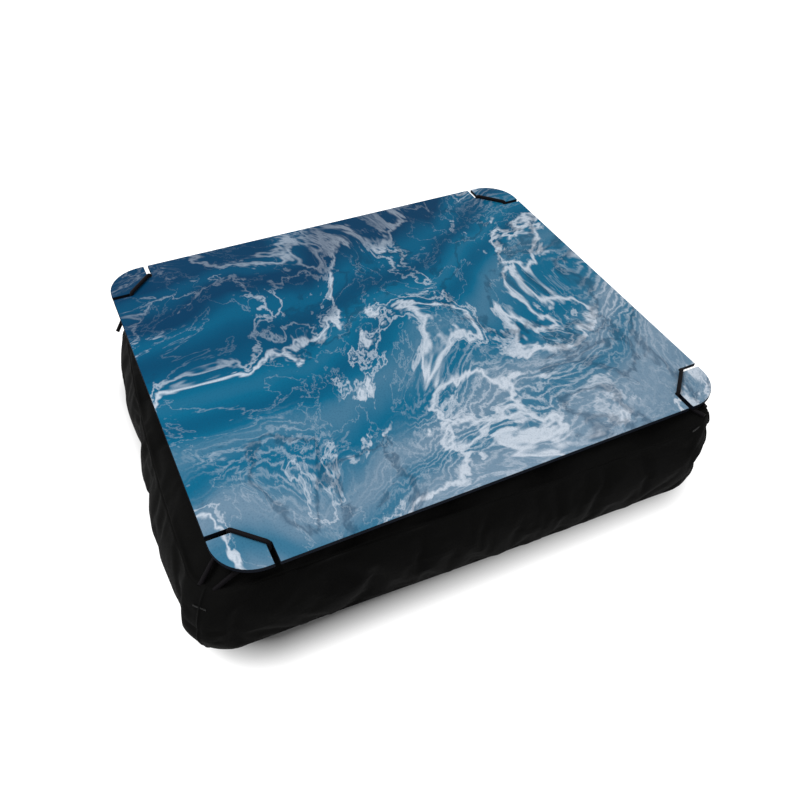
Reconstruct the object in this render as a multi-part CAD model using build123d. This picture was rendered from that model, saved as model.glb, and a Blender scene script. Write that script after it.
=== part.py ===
from build123d import *
import math
import os

# Lap tray with cushion. A thin printed board lies on a boxed cushion. Four elastic cords, sewn to the
# cushion's top corners, come up through open notches in the board's edge and cross its corners.
# Millimetres, +Z up, X along the board's front edge, Y towards the back. The origin is the middle of the
# cushion's base, on the surface that the cushion stands on.

# Board
board_width = 400
board_depth = 340
board_thickness = 2.8
board_corner_radius = 30
print_thickness = 0.25
print_margin = 0.3  # the film stops this far inside the cut edge
board_shift_x = 10  # middle of the board from the middle of the cushion
board_shift_y = 13
notch_from_corner = 36
notch_width = 3.6
notch_depth = 17.5

# Cushion cover, measured along its seams
cushion_width = 398
cushion_depth = 322
cushion_turn = -2.7  # degrees, how the cushion lies askew under the board
cushion_corner_radius = 28
rear_left_corner_radius = 45
rear_left_slack = 8  # how far the rear left corner is drawn in
left_bow = 6  # how far each side bows out in plan
right_bow = 5
front_bow = 2
cover_thickness = 1.0
bag_thickness = 0.6
soft_clearance = 0.3  # between the cushion and what lies on it

# Heights of the cushion above the surface that it stands on
bottom_seam_height = 8
band_height = 66
crown_height = 10.7
band_bulge = 8  # how far the side bands stand out past the seams
foot_inset = 12  # how far the flat underside lies inside the seam
crown_reach = 52  # from the top seam in to the flat that carries the board

# Elastic cords
elastic_diameter = 3.0
elastic_bend_radius = 2.6  # centre line, round the board's edges
elastic_leg_spread = 5  # each leg's seat from the corner, along the seam
elastic_seat_depth = 4  # how far a leg is sewn into the seam
elastic_sides = 8  # flats round the cord
chord_turn = 30  # degrees, the most that each short chord of a bend turns
knee_bend_radius = 5  # where a leg turns down over the cushion's crown
tail_bend_radius = 9
tail_reach = 22  # the cut tail at the rear left, from its corner seam
tail_forward = 3
tail_rise = 1  # over the seam where it comes out
tail_drop = 27
tack_length = 9
tack_width = 2.4
tack_height = 0.6
tack_drop = 9  # below the top seam

# Zip in the rear band
chain_length = 280
tooth_pitch = 3.5
tooth_thickness = 2.4
tooth_reach = 2.9  # root of a tooth from the middle of the chain
tooth_overlap = 1.2  # how far a head passes the middle
root_width = 2.2
neck_width = 1.2
neck_height = 0.6  # from the middle of the chain
head_width = 1.7
tape_width = 10
tape_thickness = 0.6
tape_clearance = 0.1  # under the rear bands, which it is sewn to
tape_tail = 14  # tape past each end of the chain
zip_window = 9.6  # opening between the folded edges of the two rear bands
zip_pocket_depth = 4.6
zip_pocket_margin = 2
stop_length = 3
stop_width = 1.8
stop_gap = 0.6  # from the last tooth's place

# Zip slider and pull
slider_length = 11
slider_width = 8.6
slider_corner_radius = 1.8
plate_thickness = 1.0
plate_clearance = 0.25  # over the teeth
rail_width = 1.0
rail_gap = 1.2  # slit between the rails, for the tape
bridge_length = 8.4
bridge_width = 2.0
bridge_thickness = 0.9
bridge_clear_height = 1.9
pull_pin_diameter = 1.2
pull_width = 6
pull_length = 27
pull_thickness = 1.2
pull_eye_length = 5.6  # from the pin to the far edge of the eye
pull_eye_width = 3.0
pull_corner_radius = 1.5
pull_hole_radius = 1.3
pull_hole_inset = 3.2

overrun = 60  # how far a cut runs past what it opens or parts

# Where each level of the cushion lies, and how far out it stands
band_height_shares = (0, 0.1, 0.25, 0.42, 0.58, 0.75, 0.9, 1)
band_bulge_shares = (0.25, 0.62, 0.88, 1, 1, 0.86, 0.52, 0)
crown_height_shares = (0, 0.4, 0.68, 1)
crown_inset_shares = (0, 0.2, 0.48, 1)
foot_height_shares = (0, 0.4, 1)
foot_inset_shares = (1, 0.35, 0)
zip_height_share = 0.5
knee_share = 0.4  # of a leg's way from its seam to its notch
bend_run_share = 0.45  # a bend takes no more than this of the shorter run beside it
tail_bend_shares = (0.74, 0.5, 0.1)  # where the tail bends, of its reach, forward run and drop

# Worked out from the sizes above
top_seam_height = bottom_seam_height + band_height
cushion_top = top_seam_height + crown_height
board_bottom = cushion_top + soft_clearance
board_top = board_bottom + board_thickness
print_top = board_top + print_thickness
notch_seat = notch_depth - notch_width / 2
elastic_radius = elastic_diameter / 2
zip_height = bottom_seam_height + band_height * zip_height_share
rear_face = cushion_depth / 2 + band_bulge
tape_depth = cover_thickness + tape_clearance  # the tape's outer side, under the cover's
tape_middle = rear_face - tape_depth - tape_thickness / 2
plate_underside = tooth_thickness / 2 + plate_clearance  # from the middle of the tape
pin_middle = plate_underside + plate_thickness + bridge_clear_height / 2
slider_rest = (slider_length - chain_length) / 2
slider_travel = chain_length - slider_length


def turned(part):
    """A piece of the cushion, laid askew as the cushion lies."""
    return Rot(0, 0, cushion_turn) * part


def turned_point(x, y):
    """A point of the cushion's plan, laid askew."""
    angle = math.radians(cushion_turn)
    return (
        x * math.cos(angle) - y * math.sin(angle),
        x * math.sin(angle) + y * math.cos(angle),
    )


def plan_corners(stand_out):
    """The four corners of the cushion's plan before they are rounded, from the front left round."""
    half_width = cushion_width / 2 + stand_out
    half_depth = cushion_depth / 2 + stand_out
    return (
        Vector(-half_width, -half_depth),
        Vector(half_width, -half_depth),
        Vector(half_width, half_depth),
        Vector(rear_left_slack - half_width, half_depth),
    )


def corner_radius(index):
    """Radius of one corner of the cushion's plan, in the order of its corners."""
    rear_left = len(plan_corners(0)) - 1
    return rear_left_corner_radius if index == rear_left else cushion_corner_radius


def level(height, stand_out, depth, bow_share=1):
    """One level of the cushion: bowed front and sides, a straight rear and round corners."""
    corners = plan_corners(stand_out - depth)
    outward = (Vector(0, -1), Vector(1, 0), Vector(0, 1), Vector(-1, 0))
    bows = (front_bow, right_bow, 0, left_bow)
    sides = []
    for index in range(len(corners)):
        start = corners[index]
        end = corners[(index + 1) % len(corners)]
        bow = bows[index] * bow_share
        middle = (start + end) / 2 + outward[index] * bow
        if bow:
            sides.append(ThreePointArc(start, middle, end))
        else:
            sides.append(Line(start, end))
    face = make_face(sides)
    for index, corner in enumerate(corners):
        nearest = face.vertices().sort_by_distance(corner)[0]
        face = fillet(nearest, corner_radius(index) - depth)
    return Pos(0, 0, height) * face


def foot_zone(depth, bow_share=1):
    """The cushion below its bottom seam, at that depth under the cover's outer side."""
    levels = []
    for height_share, inset_share in zip(foot_height_shares, foot_inset_shares):
        height = depth + (bottom_seam_height - depth) * height_share
        stand_out = band_bulge * band_bulge_shares[0] - foot_inset * inset_share
        levels.append(level(height, stand_out, depth, bow_share))
    return loft(levels, ruled=True)


def band_zone(depth, bow_share=1):
    """The cushion between its two seams, at that depth under the cover's outer side."""
    levels = []
    for height_share, bulge_share in zip(band_height_shares, band_bulge_shares):
        height = bottom_seam_height + band_height * height_share
        levels.append(level(height, band_bulge * bulge_share, depth, bow_share))
    return loft(levels, ruled=True)


def crown_zone(depth, bow_share=1):
    """The cushion above its top seam, up to the flat that carries the board."""
    levels = []
    for height_share, inset_share in zip(crown_height_shares, crown_inset_shares):
        height = top_seam_height + (crown_height - depth) * height_share
        levels.append(level(height, -crown_reach * inset_share, depth, bow_share))
    return loft(levels, ruled=True)


def stuffing_zone(depth):
    """The loose cushion inside the cover, at that depth. Its sides run straight."""
    return foot_zone(depth, 0) + band_zone(depth, 0) + crown_zone(depth, 0)


def side_wedge(index):
    """The space that holds one side's band, between the two slanting planes of its corner seams."""
    inner = plan_corners(-overrun)
    outer = plan_corners(overrun)
    after = (index + 1) % len(inner)
    outline = Polyline(inner[index], outer[index], outer[after], inner[after], close=True)
    return extrude(make_face(outline), cushion_top)


def board_corners():
    """Each corner of the board, with the directions that point into the board from it."""
    return {
        "front_left": (board_shift_x - board_width / 2, board_shift_y - board_depth / 2, 1, 1),
        "front_right": (board_shift_x + board_width / 2, board_shift_y - board_depth / 2, -1, 1),
        "rear_right": (board_shift_x + board_width / 2, board_shift_y + board_depth / 2, -1, -1),
        "rear_left": (board_shift_x - board_width / 2, board_shift_y + board_depth / 2, 1, -1),
    }


def notch_seats(corner):
    """Where the elastic stands in the two notches of a corner: the side edge's, then the long edge's."""
    x, y, inward_x, inward_y = board_corners()[corner]
    return (
        Vector(x + inward_x * notch_seat, y + inward_y * notch_from_corner),
        Vector(x + inward_x * notch_from_corner, y + inward_y * notch_seat),
    )


def board_plan(margin):
    """The board's plan with its eight open notches, drawn in by a margin."""
    plan = Pos(board_shift_x, board_shift_y) * RectangleRounded(
        board_width - 2 * margin, board_depth - 2 * margin, board_corner_radius - margin
    )
    width = notch_width + 2 * margin
    for corner in board_corners():
        side_seat, long_seat = notch_seats(corner)
        x, y, inward_x, inward_y = board_corners()[corner]
        side_mouth = Vector(x - inward_x * overrun, side_seat.Y)
        long_mouth = Vector(long_seat.X, y - inward_y * overrun)
        for seat, mouth in ((side_seat, side_mouth), (long_seat, long_mouth)):
            plan -= SlotCenterPoint((seat + mouth) / 2, seat, width)
    return plan


def tray_board():
    return Pos(0, 0, board_bottom) * extrude(board_plan(0), board_thickness)


def printed_face():
    return Pos(0, 0, board_top) * extrude(board_plan(print_margin), print_thickness)


def crown_surface(point):
    """Height of the cushion's upper side at a point, from how far inside the seams the point lies."""
    angle = math.radians(-cushion_turn)
    along_x = point.X * math.cos(angle) - point.Y * math.sin(angle)
    along_y = point.X * math.sin(angle) + point.Y * math.cos(angle)
    inset = min(cushion_width / 2 - abs(along_x), cushion_depth / 2 - abs(along_y))
    share = min(max(inset / crown_reach, 0), 1)
    steps = list(zip(crown_inset_shares, crown_height_shares))
    for (near, low), (far, high) in zip(steps, steps[1:]):
        if share <= far:
            risen = low + (high - low) * (share - near) / (far - near)
            return top_seam_height + crown_height * risen


def cushion_corner(corner):
    """The middle of a round corner of the cushion's top seam, and the ways out of it and along it."""
    index = ("front_left", "front_right", "rear_right", "rear_left").index(corner)
    sharp = plan_corners(0)[index]
    inward = Vector(-math.copysign(1, sharp.X), -math.copysign(1, sharp.Y))
    rounding = corner_radius(index) * (1 - math.sqrt(1 / 2))
    apex = turned_point(sharp.X + inward.X * rounding, sharp.Y + inward.Y * rounding)
    out = Vector(*turned_point(-inward.X, -inward.Y)).normalized()
    return Vector(*apex), out


def bend(before, corner, after, radius):
    """Points on the arc that rounds one corner of a route, its two ends among them."""
    inward = (before - corner).normalized()
    onward = (after - corner).normalized()
    half_angle = math.radians(inward.get_angle(onward) / 2)
    shorter_run = min((before - corner).length, (after - corner).length)
    reach = min(radius / math.tan(half_angle), shorter_run * bend_run_share)
    centre = corner + (inward + onward).normalized() * (reach / math.cos(half_angle))
    first = corner + inward * reach - centre
    last = corner + onward * reach - centre
    turn = math.pi - 2 * half_angle
    chords = math.ceil(math.degrees(turn) / chord_turn)
    points = []
    for step in range(chords + 1):
        share = step / chords
        swung = first * math.sin((1 - share) * turn) + last * math.sin(share * turn)
        points.append(centre + swung / math.sin(turn))
    return points


def cord(points, radii):
    """A faceted elastic along straight runs joined by arcs, each arc taken in a few short chords."""
    corners = [Vector(*point) for point in points]
    route = [corners[0]]
    for before, corner, after, radius in zip(corners, corners[1:], corners[2:], radii):
        route += bend(before, corner, after, radius)
    path = Polyline(*route, corners[-1])
    section = Plane(origin=path @ 0, z_dir=path % 0) * RegularPolygon(elastic_radius, elastic_sides)
    return sweep(section, path=path, transition=Transition.RIGHT)


def elastic(corner):
    """One elastic: up a notch, across the corner of the board and down the other notch."""
    apex, out = cushion_corner(corner)
    over = print_top + soft_clearance + elastic_radius
    under = board_bottom - soft_clearance - elastic_radius
    side_seat, long_seat = notch_seats(corner)
    points = []
    for seat, order in ((side_seat, 1), (long_seat, -1)):
        along = (seat - (side_seat + long_seat) / 2).normalized()
        end = apex + along * elastic_leg_spread - out * elastic_seat_depth
        knee = end + (seat - end) * knee_share
        knee_height = min(crown_surface(knee) + soft_clearance + elastic_radius, under)
        leg = [
            (end.X, end.Y, top_seam_height),
            (knee.X, knee.Y, knee_height),
            (seat.X, seat.Y, under),
            (seat.X, seat.Y, over),
        ]
        points += leg[::order]
    bends = [knee_bend_radius, elastic_bend_radius, elastic_bend_radius]
    return cord(points, bends + bends[::-1])


def elastic_tail():
    """The cut end of the rear left elastic, which hangs out of its seam down the cushion's corner."""
    apex, out = cushion_corner("rear_left")
    start = apex - out * elastic_seat_depth
    reach_share, forward_share, drop_share = tail_bend_shares
    points = [
        (start.X, start.Y, top_seam_height + elastic_radius + tail_rise),
        (
            apex.X - tail_reach * reach_share,
            apex.Y - tail_forward * forward_share,
            top_seam_height - tail_drop * drop_share,
        ),
        (apex.X - tail_reach, apex.Y - tail_forward, top_seam_height - tail_drop),
    ]
    return cord(points, [tail_bend_radius])


def corner_tacks(band):
    """A short bar of stitching across each corner seam, which holds the elastic's ends."""
    layer = band_zone(-tack_height) - band
    tacks = []
    for sharp in plan_corners(0):
        outward = Vector(math.copysign(1, sharp.X), math.copysign(1, sharp.Y))
        angle = math.degrees(math.atan2(outward.Y, outward.X))
        place = Pos(sharp.X, sharp.Y, top_seam_height - tack_drop) * Rot(0, 0, angle)
        tacks.append(layer & place * Box(overrun, tack_length, tack_width))
    return tacks


def tooth(side):
    """One moulded zip tooth. side is 1 for the upper row and -1 for the lower."""
    outline = [
        (-root_width / 2, tooth_reach),
        (-neck_width / 2, neck_height),
        (-head_width / 2, -tooth_overlap),
        (head_width / 2, -tooth_overlap),
        (neck_width / 2, neck_height),
        (root_width / 2, tooth_reach),
    ]
    face = make_face(Polyline(*[(x, side * z) for x, z in outline], close=True))
    prism = extrude(Plane.XZ * face, tooth_thickness / 2, both=True)
    return Pos(0, tape_middle, zip_height) * prism


def teeth_row(side):
    """Half of the closed chain. The lower row stands half a pitch along, between the upper heads."""
    count = int(chain_length / tooth_pitch)
    first = (tooth_pitch - chain_length) / 2 - side * tooth_pitch / 4
    one = tooth(side)
    return [Pos(first + index * tooth_pitch, 0, 0) * one for index in range(count)]


def zip_box(length, low, high, front, back):
    """A box along the zip, between two heights from its middle and two depths."""
    return Pos(0, (front + back) / 2, zip_height + (low + high) / 2) * Box(
        length, back - front, high - low
    )


def upright(sketch, near, far):
    """A sketch drawn on the zip's face, made solid between two depths from the middle of the tape."""
    prism = extrude(Plane.XZ * sketch, (far - near) / 2, both=True)
    return Pos(0, tape_middle + (near + far) / 2, zip_height) * prism


def end_stops():
    """Two small stops at the closed end of the chain and one across it at the other end."""
    middle = (chain_length + stop_length) / 2 + stop_gap
    stops = []
    for side in (-1, 1):
        block = Pos(-middle, side * (tooth_reach - stop_width / 2)) * Rectangle(stop_length, stop_width)
        stops.append(upright(block, -tooth_thickness / 2, tooth_thickness / 2))
    block = Pos(middle, 0) * Rectangle(stop_length, 2 * tooth_reach)
    stops.append(upright(block, -tooth_thickness / 2, tooth_thickness / 2))
    return stops


def slider_plate(side):
    """One plate of the slider and its two rails. side is 1 for the outer plate, -1 for the inner."""
    plan = RectangleRounded(slider_length, slider_width, slider_corner_radius)
    depths = sorted((side * plate_underside, side * (plate_underside + plate_thickness)))
    plate = upright(plan, *depths)
    channel = Rectangle(2 * slider_length, slider_width - 2 * rail_width)
    depths = sorted((side * rail_gap / 2, side * plate_underside))
    return plate + upright(plan - channel, *depths)


def bridge():
    """The arch on the slider's outer plate that holds the pull's pin."""
    foot_depth = plate_underside + plate_thickness
    height = bridge_clear_height + bridge_thickness
    arch = Pos(0, height / 2) * Rectangle(bridge_length, height)
    arch = fillet(arch.vertices().group_by(Axis.Y)[-1], bridge_thickness)
    arch -= Pos(0, bridge_clear_height / 2) * Rectangle(
        bridge_length - 2 * bridge_thickness, bridge_clear_height
    )
    prism = extrude(arch, bridge_width / 2, both=True)
    return Pos(0, tape_middle + foot_depth, zip_height) * prism


def zip_pull():
    """A flat tab with an eye round the slider's bridge and a pin under it. It lies along the chain."""
    tab_length = pull_length - pull_pin_diameter / 2
    tab = Pos(-pull_length / 2 - pull_pin_diameter / 4, 0) * RectangleRounded(
        tab_length, pull_width, pull_corner_radius
    )
    arms = Pos(-pull_length / 4, 0) * Rectangle(pull_length / 2, pull_width)
    eye = Pos(-pull_eye_length / 2, 0) * Rectangle(pull_eye_length, pull_eye_width)
    hole = Pos(pull_hole_inset - pull_length, 0) * Circle(pull_hole_radius)
    half_thickness = pull_thickness / 2
    plate = upright(tab + arms - eye - hole, pin_middle - half_thickness, pin_middle + half_thickness)
    pin = Pos(0, tape_middle + pin_middle, zip_height) * Cylinder(pull_pin_diameter / 2, pull_width)
    return Pos(slider_rest, 0, 0) * (plate + pin)


def build():
    """Every piece of the object, by name."""
    tape_length = chain_length + 2 * tape_tail
    foot = foot_zone(0)
    band = band_zone(0)
    crown = crown_zone(0)
    fill_depth = cover_thickness + bag_thickness
    pieces = {"tray_board": tray_board(), "printed_face": printed_face()}

    # Cover
    pieces["bottom_panel"] = foot - foot_zone(cover_thickness)
    pieces["top_panel"] = crown - crown_zone(cover_thickness)
    shell = band - band_zone(cover_thickness)
    for index, name in ((0, "front_band"), (1, "right_band"), (3, "left_band")):
        pieces[name] = shell & side_wedge(index)
    half_window = zip_window / 2
    window_length = chain_length + slider_length
    window = zip_box(window_length, -half_window, half_window, 0, rear_face + overrun)
    rear = (shell & side_wedge(2)) - window
    cut_length = cushion_width + 2 * overrun
    for name, low, high in (
        ("rear_band_upper", 0, band_height),
        ("rear_band_lower", -band_height, 0),
    ):
        pieces[name] = rear & zip_box(cut_length, low, high, 0, rear_face + overrun)

    # Inside of the cushion
    filling = stuffing_zone(fill_depth)
    half_pocket = half_window + tape_width + zip_pocket_margin
    pocket_length = tape_length + 2 * zip_pocket_margin
    bag_face = rear_face - zip_pocket_depth
    pocket = zip_box(pocket_length, -half_pocket, half_pocket, bag_face, rear_face + overrun)
    filling_face = bag_face - bag_thickness
    bag_pocket = zip_box(pocket_length, -half_pocket, half_pocket, filling_face, rear_face + overrun)
    pieces["inner_bag"] = stuffing_zone(cover_thickness) - filling - pocket
    pieces["filling"] = filling - bag_pocket

    # Zip
    tape_layer = band_zone(tape_depth) - band_zone(tape_depth + tape_thickness)
    outer_edge = tooth_reach + tape_width
    for name, side in (("upper", 1), ("lower", -1)):
        low, high = sorted((side * tooth_reach, side * outer_edge))
        pieces["zip_tape_" + name] = tape_layer & zip_box(tape_length, low, high, 0, rear_face + overrun)
        pieces["zip_teeth_" + name] = teeth_row(side)
    pieces["zip_end_stops"] = end_stops()
    outer_plate = slider_plate(1) + bridge()
    pieces["zip_slider"] = [Pos(slider_rest, 0, 0) * p for p in (outer_plate, slider_plate(-1))]
    pieces["zip_pull"] = zip_pull()
    pieces["corner_tacks"] = corner_tacks(band)

    for name, piece in pieces.items():
        if name not in ("tray_board", "printed_face"):
            pieces[name] = [turned(p) for p in piece] if isinstance(piece, list) else turned(piece)

    # Elastics end where they meet the cover, which they are sewn into
    cushion = turned(foot + band + crown)
    for corner in board_corners():
        pieces["elastic_" + corner] = elastic(corner) - cushion
    pieces["elastic_rear_left"] = [pieces["elastic_rear_left"], elastic_tail() - cushion]
    return pieces


def write(pieces):
    os.makedirs("parts", exist_ok=True)
    for name, piece in pieces.items():
        solids = piece if isinstance(piece, list) else [piece]
        found = [solid for part in solids for solid in part.solids()]
        export_step(Compound(found), "parts/" + name + ".step")
        print(name, len(found), round(sum(solid.volume for solid in found)))


if __name__ == "__main__":
    write(build())
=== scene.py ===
# %% [markdown]
# Lap tray with cushion. This lesson dresses a finished CAD model of the tray: a printed board that four
# elastic cords hold on a boxed black cushion with a zip in its rear side. The CAD model fixes every size
# and place, so the first step loads it, and all that follows adds cloth, thread, print and light.

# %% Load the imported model
import math

import bpy
import numpy as np
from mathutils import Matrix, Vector


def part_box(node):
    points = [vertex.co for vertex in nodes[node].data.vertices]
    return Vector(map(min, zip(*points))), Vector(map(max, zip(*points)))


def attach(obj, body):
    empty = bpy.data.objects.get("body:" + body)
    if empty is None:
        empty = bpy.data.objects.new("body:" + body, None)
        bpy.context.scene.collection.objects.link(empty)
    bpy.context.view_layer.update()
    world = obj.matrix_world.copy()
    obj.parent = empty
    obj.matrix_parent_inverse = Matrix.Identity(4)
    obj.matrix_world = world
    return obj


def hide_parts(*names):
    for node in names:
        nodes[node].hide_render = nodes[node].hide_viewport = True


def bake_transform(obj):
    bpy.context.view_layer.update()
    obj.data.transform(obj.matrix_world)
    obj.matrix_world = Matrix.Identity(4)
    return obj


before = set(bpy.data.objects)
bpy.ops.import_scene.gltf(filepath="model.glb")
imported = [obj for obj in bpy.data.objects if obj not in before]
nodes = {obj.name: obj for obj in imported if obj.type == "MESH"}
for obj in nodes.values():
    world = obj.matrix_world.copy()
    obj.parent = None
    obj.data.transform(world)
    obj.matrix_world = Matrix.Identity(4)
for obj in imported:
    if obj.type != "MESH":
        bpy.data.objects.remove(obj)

scene = bpy.context.scene
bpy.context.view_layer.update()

# %% [markdown]
# The camera stands where the photographer stood. The four straight edges of the board meet in two
# vanishing points, which give the lens and the three angles. A longer lens further away would show the
# same corners but flatten the depth, so lens and place are set together.

# %% Camera
camera_place = (-0.2225, -0.4393, 0.5147)
camera_angles = (45.125, -1.774, -26.018)  # degrees about X, Y and Z
camera_lens = 36.435
camera_sensor = 36

camera_data = bpy.data.cameras.new("photo_camera")
camera_data.lens = camera_lens
camera_data.sensor_width = camera_sensor
camera = bpy.data.objects.new("photo_camera", camera_data)
camera.location = camera_place
camera.rotation_euler = [math.radians(angle) for angle in camera_angles]
scene.collection.objects.link(camera)
scene.camera = camera
looks_along = camera.rotation_euler.to_matrix() @ Vector((0, 0, -1))
print("camera looks along", [round(part, 3) for part in looks_along])

# %% [markdown]
# Every material below is built from nodes in the script. A few small helpers keep that short: one adds a
# node and fills its inputs, one does a sum, and one makes a node group, which is a recipe that several
# materials share. A group here puts out only values that change over the surface. What is the same all
# over stays on the shader's own socket. The nodes could be set by hand, but a script can be run again.

# %% Helpers for nodes
mix_inputs = (0, 6, 7)  # a Mix node's share and colours, by place, because some of its sockets share a name
mix_output = 2


def plug(tree, socket, value):
    """Feeds a socket from another socket, or sets its value."""
    if isinstance(value, bpy.types.NodeSocket):
        tree.links.new(value, socket)
    else:
        socket.default_value = value


def put(tree, kind, inputs=None, **settings):
    """Adds a node, with its settings and its inputs."""
    node = tree.nodes.new(kind)
    for name, value in settings.items():
        setattr(node, name, value)
    for name, value in (inputs or {}).items():
        plug(tree, node.inputs[name], value)
    return node


def feed(tree, node, **values):
    """Fills a node's inputs. A space in an input's name is written as _."""
    for label, value in values.items():
        plug(tree, node.inputs[label.replace("_", " ")], value)


def calc(tree, operation, *values, clamp=False):
    """Adds a Math node and returns its output."""
    node = tree.nodes.new("ShaderNodeMath")
    node.operation = operation
    node.use_clamp = clamp
    for socket, value in zip(node.inputs, values):
        plug(tree, socket, value)
    return node.outputs[0]


def blend_colours(tree, share, low, high):
    """Adds a colour Mix node and returns its output."""
    node = put(tree, "ShaderNodeMix", data_type="RGBA")
    for place, value in zip(mix_inputs, (share, low, high)):
        plug(tree, node.inputs[place], value)
    return node.outputs[mix_output]


def node_group(tree_type, name, inputs, outputs):
    """Makes a node group. Returns its tree, its inputs' values and its outputs' sockets."""
    tree = bpy.data.node_groups.new(name, tree_type)
    for label, kind, value in inputs:
        socket = tree.interface.new_socket(name=label, in_out="INPUT", socket_type="NodeSocket" + kind)
        if value is not None:
            socket.default_value = value
    for label, kind in outputs:
        tree.interface.new_socket(name=label, in_out="OUTPUT", socket_type="NodeSocket" + kind)
    return tree, tree.nodes.new("NodeGroupInput").outputs, tree.nodes.new("NodeGroupOutput").inputs


def use_group(tree, group, **inputs):
    """Places a node group in a material and returns its outputs."""
    node = put(tree, "ShaderNodeGroup", node_tree=group)
    feed(tree, node, **inputs)
    return node.outputs


def new_material(name, **constants):
    """A material with one Principled shader, whose constants are set on its own sockets."""
    material = bpy.data.materials.new(name)
    material.use_nodes = True
    shader = material.node_tree.nodes["Principled BSDF"]
    feed(material.node_tree, shader, **constants)
    return material, material.node_tree, shader


def object_place(tree):
    """The point on the object, in metres, that a pattern is drawn by."""
    return put(tree, "ShaderNodeTexCoord").outputs["Object"]


def bump(tree, height, distance, strength=1.0):
    """A normal from a height between 0 and 1 that stands for that distance in metres."""
    node = put(tree, "ShaderNodeBump", {"Strength": strength, "Distance": distance, "Height": height})
    return node.outputs["Normal"]


print("helpers ready")

# %% [markdown]
# Studio. The photograph is a cut-out on white with one soft shadow close to the cushion. Two broad lamps
# and a white surround light the tray, so that a colour renders about as it is written. The floor is grey,
# which keeps its own light off the black cloth. To the camera alone it glows, from nothing near the
# cushion to white a few centimetres away. That paints a dark band of shadow round the cushion, on top
# of the real shadow that the lamps cast.

# %% Floor, surround and lamps
floor_reach = 4.0
floor_colour = (0.45, 0.45, 0.45, 1)
white = (1, 1, 1, 1)
floor_glow = 1.0
painted_shadow_box = (0.155, 0.121)  # half a rectangle inside the cushion's plan, round which the glow is left out as painted shadow
painted_shadow_width = 0.035  # metres out from the rectangle, round its corners, where the glow begins and the painted shadow ends
glow_reach = 0.03  # metres out to the full glow
surround_light = 0.5
lamp_table = (
    # name, place, side in metres, power in watts
    ("window_lamp", (-0.95, 0.3, 1.4), 0.9, 17.0),
    ("fill_lamp", (0.9, -1.3, 1.5), 1.8, 5.0),
)
lamp_aim = Vector((0, 0, 0.05))


def seen_directly(tree):
    """1 for rays from the camera, a mirror or glass, and 0 for the rays that light the tray."""
    path = put(tree, "ShaderNodeLightPath").outputs
    direct = calc(tree, "MAXIMUM", path["Is Camera Ray"], path["Is Glossy Ray"])
    return calc(tree, "MAXIMUM", direct, path["Is Transmission Ray"])


def glow_with_painted_shadow(tree):
    """The floor's glow, by the level distance from a rectangle in the cushion's plan. It is nothing near
    the cushion, which paints shadow round it.
    """
    place = put(tree, "ShaderNodeSeparateXYZ", {"Vector": object_place(tree)}).outputs
    outside = [
        calc(tree, "MAXIMUM", calc(tree, "SUBTRACT", calc(tree, "ABSOLUTE", place[axis]), half), 0.0)
        for axis, half in zip("XY", painted_shadow_box)
    ]
    squares = [calc(tree, "MULTIPLY", part, part) for part in outside]
    distance = calc(tree, "SQRT", calc(tree, "ADD", *squares))
    share = calc(tree, "DIVIDE", calc(tree, "SUBTRACT", distance, painted_shadow_width), glow_reach, clamp=True)
    return calc(tree, "MULTIPLY", share, floor_glow)


def make_floor():
    mesh = bpy.data.meshes.new("floor")
    corners = [(x * floor_reach, y * floor_reach, 0) for x, y in ((-1, -1), (1, -1), (1, 1), (-1, 1))]
    mesh.from_pydata(corners, [], [(0, 1, 2, 3)])
    floor = bpy.data.objects.new("floor", mesh)
    scene.collection.objects.link(floor)
    material, tree, shader = new_material(
        "pale_floor", Base_Color=floor_colour, Roughness=1.0, Specular_IOR_Level=0.0, Emission_Color=white
    )
    # Painted shadow: with no glow near the cushion the floor stays dark round it, over its real shadow.
    glow = calc(tree, "MULTIPLY", seen_directly(tree), glow_with_painted_shadow(tree))
    feed(tree, shader, Emission_Strength=glow)
    mesh.materials.append(material)


def make_surround():
    world = bpy.data.worlds.new("white_surround")
    scene.world = world
    world.use_nodes = True
    tree = world.node_tree
    strength = calc(tree, "MAXIMUM", seen_directly(tree), surround_light)
    feed(tree, tree.nodes["Background"], Color=white, Strength=strength)


def make_lamps():
    for name, place, side, power in lamp_table:
        data = bpy.data.lights.new(name, "AREA")
        data.shape = "SQUARE"
        data.size = side
        data.energy = power
        lamp = bpy.data.objects.new(name, data)
        lamp.location = place
        lamp.rotation_euler = (lamp_aim - Vector(place)).to_track_quat("-Z", "Y").to_euler()
        scene.collection.objects.link(lamp)


make_floor()
make_surround()
make_lamps()
scene.view_settings.view_transform = "Standard"
print("lamps:", [name for name, *_ in lamp_table])

# %% [markdown]
# Cloth seen close up is threads that pass over and under each other. The weave group draws that as a
# height from two sine waves on the cloth's own flat coordinates in metres, so the threads follow each
# panel as it was cut. A photograph of cloth would also do, but it repeats and has one fixed scale. The
# second group gives patches and grain, because no real surface has one even colour and gloss.

# %% Shared effects: weave and unevenness
slubs_per_thread = 0.16
slub_detail, patch_detail, grain_detail = 3.0, 4.0, 2.0


def plain_noise(tree, place, scale, detail):
    """The grey value of a noise."""
    inputs = {"Vector": place, "Scale": scale, "Detail": detail}
    return put(tree, "ShaderNodeTexNoise", inputs).outputs["Fac"]


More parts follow.
